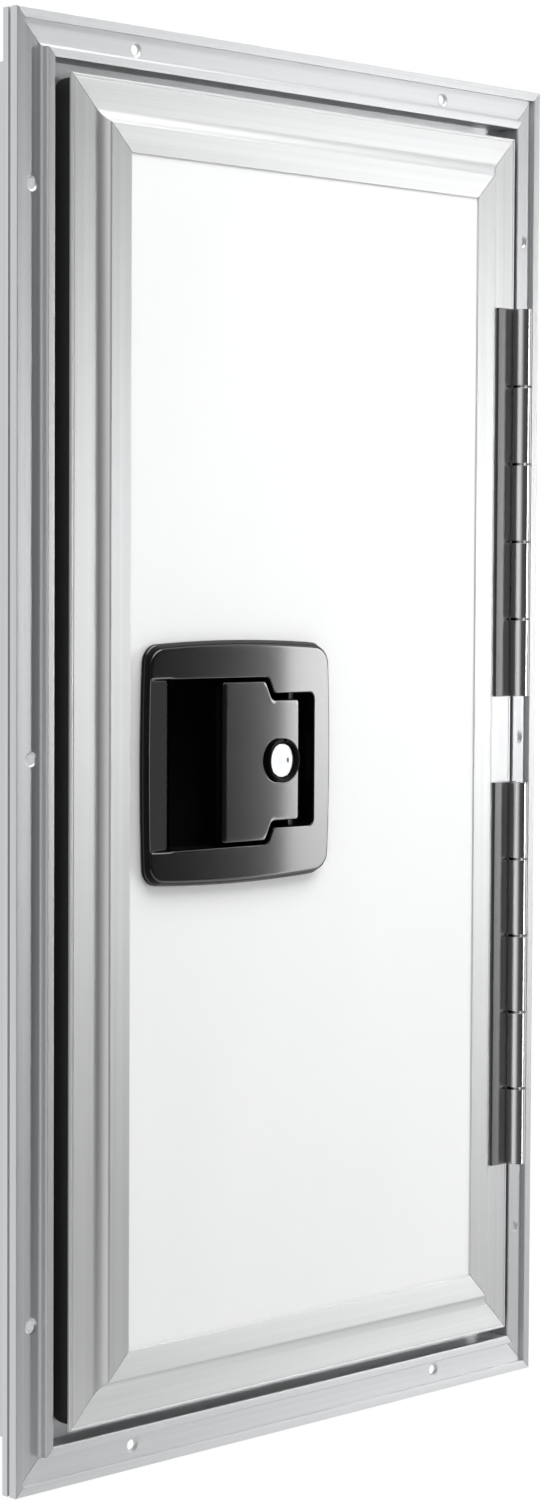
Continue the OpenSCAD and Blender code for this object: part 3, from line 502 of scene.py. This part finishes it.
def darken(piece, depth):
    """Gives the walls a duller black than the face, and everything deeper than a depth the matt black
    of the unlit recess."""
    piece.data.materials.append(side_black)
    piece.data.materials.append(recess_black)
    for face in piece.data.polygons:
        wall = abs(face.normal.y) < 0.6
        face.material_index = 2 if face.center.y * 1000 > depth else int(wall)


darken(moulding("latch_bezel_moulding", "latch_bezel", latch_front(), -16.6), -18.3)
darken(moulding("paddle_moulding", "paddle", paddle_front(), -22.5), -24.95)


# ---------------------------------------------------------------- camera

def aim(azimuth, down, roll):
    """Camera turned from the door's normal towards +X by azimuth, tipped down, and rolled, in degrees."""
    a, p, r = (math.radians(v) for v in (azimuth, down, roll))
    forward = Vector((math.sin(a) * math.cos(p), math.cos(a) * math.cos(p), -math.sin(p)))
    side = Vector((math.cos(a), -math.sin(a), 0.0))
    up = side.cross(forward)
    right = side * math.cos(r) + up * math.sin(r)
    top = up * math.cos(r) - side * math.sin(r)
    return Matrix((right, top, -forward)).transposed()


camera = bpy.data.objects.new("camera", bpy.data.cameras.new("camera"))
camera.data.lens = 3262.6 / 1500 * 36
camera.data.sensor_width = 36
camera.data.clip_start = 0.05
camera.matrix_world = Matrix.Translation((-1.1396, -1.1221, 0.0804)) @ aim(45.243, 2.93, 0.281).to_4x4()
bpy.context.scene.collection.objects.link(camera)
bpy.context.scene.camera = camera


# ---------------------------------------------------------------- studio

def white_room():
    """Plain white surroundings."""
    world = bpy.data.worlds.new("studio")
    bpy.context.scene.world = world
    world.use_nodes = True
    world.node_tree.nodes["Background"].inputs["Color"].default_value = (1, 1, 1, 1)


def studio_wall():
    """Curved wall of light in front of the door, part of a cylinder: its brightness goes by compass
    direction, dark straight ahead and bright at the sides. The camera looks through it."""
    turn, height = np.meshgrid(np.radians(np.linspace(-112, 88, 81)), np.linspace(FLOOR_Z, 1.7, 5))
    points = np.column_stack((2.4 * np.sin(turn.ravel()), -2.4 * np.cos(turn.ravel()), height.ravel()))
    i, j = np.meshgrid(np.arange(4), np.arange(80), indexing="ij")
    a = (i * 81 + j).ravel()
    mesh = bpy.data.meshes.new("studio_wall")
    mesh.from_pydata(points, [], np.column_stack((a, a + 1, a + 82, a + 81)))
    wall = bpy.data.objects.new("studio_wall", mesh)
    bpy.context.scene.collection.objects.link(wall)
    wall.visible_camera = False
    made = Finish("wall_light", (0.5, 0.5, 0.5), 1.0)
    part = made.node("ShaderNodeSeparateXYZ", {"Vector": made.node("ShaderNodeTexCoord").outputs["Object"]})
    back = made.node("ShaderNodeMath", {0: part.outputs[1], 1: -1.0}, operation="MULTIPLY")
    compass = made.node("ShaderNodeMath", {0: part.outputs[0], 1: back.outputs[0]}, operation="ARCTAN2")
    share = made.spread(compass.outputs[0], 0.0, 1.0, -math.pi, math.pi)
    ramp = made.node("ShaderNodeValToRGB", {"Fac": share})
    stops = [(-112, 1.0), (-75, 0.95), (-60, 0.85), (-45, 0.5), (-28, 0.12), (0, 0.08), (24, 0.05), (38, 0.05),
             (48, 0.06), (56, 0.15), (66, 0.35), (78, 0.6), (88, 1.0)]
    while len(ramp.color_ramp.elements) < len(stops):
        ramp.color_ramp.elements.new(0.5)
    for element, (angle, value) in zip(ramp.color_ramp.elements, stops):
        element.position = (angle + 180) / 360
        element.color = (value, value, value, 1.0)
    glow = made.node("ShaderNodeEmission", {"Color": ramp.outputs[0]})
    made.tree.links.new(glow.outputs[0], made.tree.nodes["Material Output"].inputs[0])
    mesh.materials.append(made.material)


def strip_softbox():
    """Tall narrow softbox to the right: a flat sheet facing the door whose glow swells towards its middle
    and dies away at both ends."""
    middle, toward = Vector((0.994, -0.896, -0.06)), Vector((0.747, -0.665, 0.0))
    across = Vector((-toward.y, toward.x, 0.0)).normalized() * 0.0925
    corners = [middle + across * i + Vector((0, 0, j * 0.76)) for j in (-1, 1) for i in (-1, 1)]
    mesh = bpy.data.meshes.new("strip_softbox")
    mesh.from_pydata(corners, [], [(0, 1, 3, 2)])
    sheet = bpy.data.objects.new("strip_softbox", mesh)
    bpy.context.scene.collection.objects.link(sheet)
    sheet.visible_camera = False
    made = Finish("strip_light", (0.5, 0.5, 0.5), 1.0)
    part = made.node("ShaderNodeSeparateXYZ", {"Vector": made.node("ShaderNodeTexCoord").outputs["Object"]})
    share = made.spread(part.outputs[2], 0.0, 1.0, -0.82, 0.70)
    ramp = made.node("ShaderNodeValToRGB", {"Fac": share})
    stops = [(0.0, 0.15), (0.18, 0.3), (0.4, 0.64), (0.52, 0.95), (0.64, 1.0), (0.8, 0.55), (1.0, 0.15)]
    while len(ramp.color_ramp.elements) < len(stops):
        ramp.color_ramp.elements.new(0.5)
    for element, (place, value) in zip(ramp.color_ramp.elements, stops):
        element.position = place
        element.color = (value, value, value, 1.0)
    glow = made.node("ShaderNodeEmission", {"Color": ramp.outputs[0], "Strength": 11.5})
    made.tree.links.new(glow.outputs[0], made.tree.nodes["Material Output"].inputs[0])
    mesh.materials.append(made.material)


def soft_lamp(name, place, target, width, height, watts):
    """Area lamp pointed at a target."""
    data = bpy.data.lights.new(name, "AREA")
    data.shape = "RECTANGLE"
    data.size, data.size_y, data.energy = width, height, watts
    lamp = bpy.data.objects.new(name, data)
    lamp.location = place
    lamp.rotation_euler = (Vector(target) - Vector(place)).to_track_quat("-Z", "Y").to_euler()
    lamp.visible_camera = False
    bpy.context.scene.collection.objects.link(lamp)
    return lamp


def pale_floor():
    """Wide pale floor well below the door: white where the camera, metal or glass shows it."""
    mesh = bpy.data.meshes.new("floor")
    s = 30.0
    mesh.from_pydata([(-s, -s, FLOOR_Z), (s, -s, FLOOR_Z), (s, s, FLOOR_Z), (-s, s, FLOOR_Z)], [], [(0, 1, 2, 3)])
    floor = bpy.data.objects.new("floor", mesh)
    bpy.context.scene.collection.objects.link(floor)
    made = Finish("pale_floor", (0.8, 0.8, 0.8), 0.8)
    grain = made.noise([8.0, 8.0, 8.0], 2.0)
    made.link(made.tint(made.spread(grain, 0, 1), (0.79, 0.79, 0.79), (0.81, 0.81, 0.81)), "Base Color")
    path = made.node("ShaderNodeLightPath").outputs
    seen = made.node("ShaderNodeMath", {0: path["Is Camera Ray"], 1: path["Is Glossy Ray"]}, operation="ADD")
    seen = made.node("ShaderNodeMath", {0: seen.outputs[0], 1: path["Is Transmission Ray"]}, operation="ADD")
    glow = made.node("ShaderNodeEmission")
    mix = made.node("ShaderNodeMixShader")
    for output, socket in ((seen.outputs[0], 0), (made.shader.outputs[0], 1), (glow.outputs[0], 2)):
        made.tree.links.new(output, mix.inputs[socket])
    made.tree.links.new(mix.outputs[0], made.tree.nodes["Material Output"].inputs[0])
    mesh.materials.append(made.material)


FLOOR_Z = -1.05
white_room()
studio_wall()
pale_floor()
strip_softbox()
soft_lamp("overhead_softbox", (0.1, -1.1, 1.6), (0, 0, 0), 2.0, 1.1, 29)
bpy.context.scene.view_settings.view_transform = "Standard"
